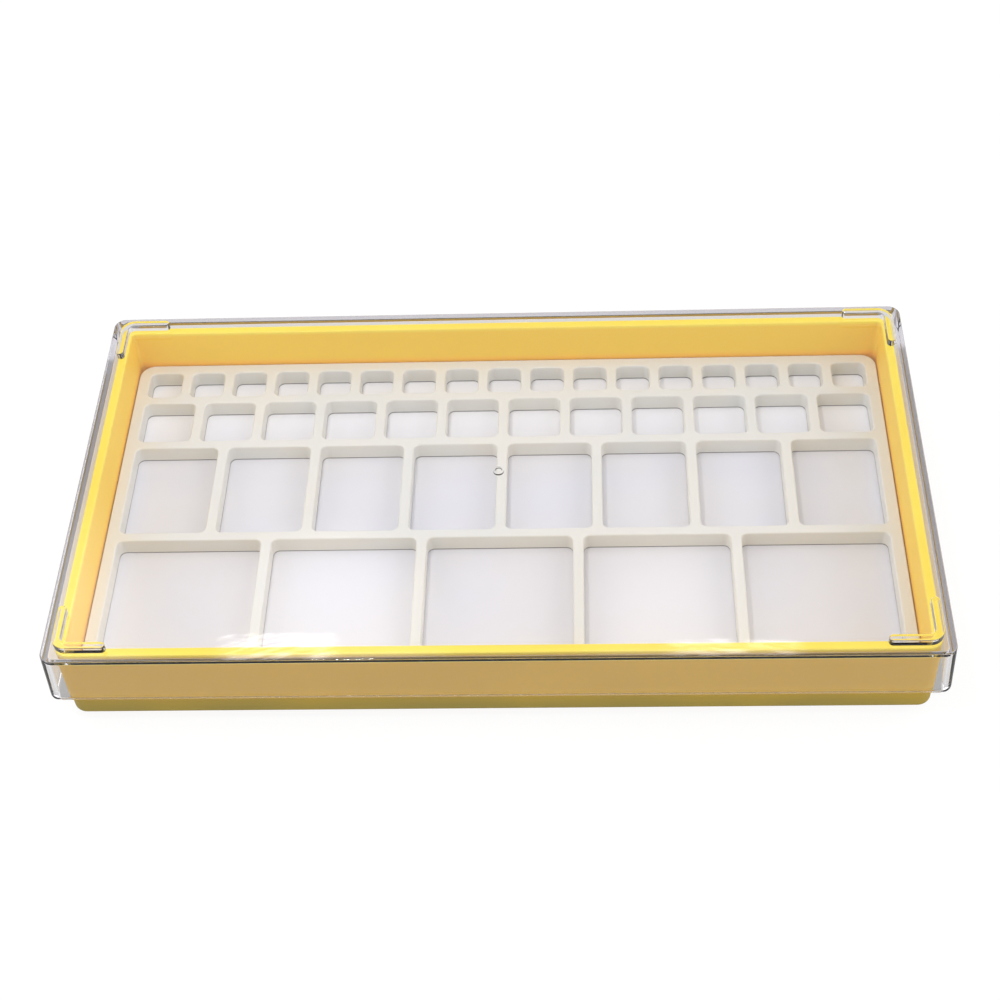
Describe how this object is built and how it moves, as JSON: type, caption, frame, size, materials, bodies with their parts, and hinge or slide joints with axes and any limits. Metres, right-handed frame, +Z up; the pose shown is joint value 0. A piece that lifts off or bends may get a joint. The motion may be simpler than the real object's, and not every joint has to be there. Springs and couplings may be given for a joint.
{
  "type": "compartment storage box",
  "caption": "Shallow rectangular storage box: a yellow tray with a clear lift-off lid and a pale divider grid whose rounded cells get larger from back to front.",
  "frame": {"origin": "middle of the footprint, on the surface that the box stands on", "axes": "+X along the box, -Y towards the front where the deepest compartments are, +Z up"},
  "size_m": [0.2548, 0.1404, 0.0337],
  "materials": {
    "yellow_plastic": "satin moulded yellow",
    "pale_pad": "smooth matte lavender white",
    "cream_plastic": "soft matte cream",
    "clear_plastic": "clear polished"
  },
  "bodies": {
    "base": {"tray": "yellow_plastic", "floor_pad": "pale_pad"},
    "grid": {"divider_grid": "cream_plastic"},
    "cover": {"lid": "clear_plastic"}
  },
  "joints": [
    {"name": "lid_lift", "type": "slide", "parent": "base", "child": "cover", "axis": [0, 0, 1], "range_m": [0, 0.06]},
    {"name": "grid_lift", "type": "slide", "parent": "base", "child": "grid", "axis": [0, 0, 1], "range_m": [0, 0.012]}
  ]
}
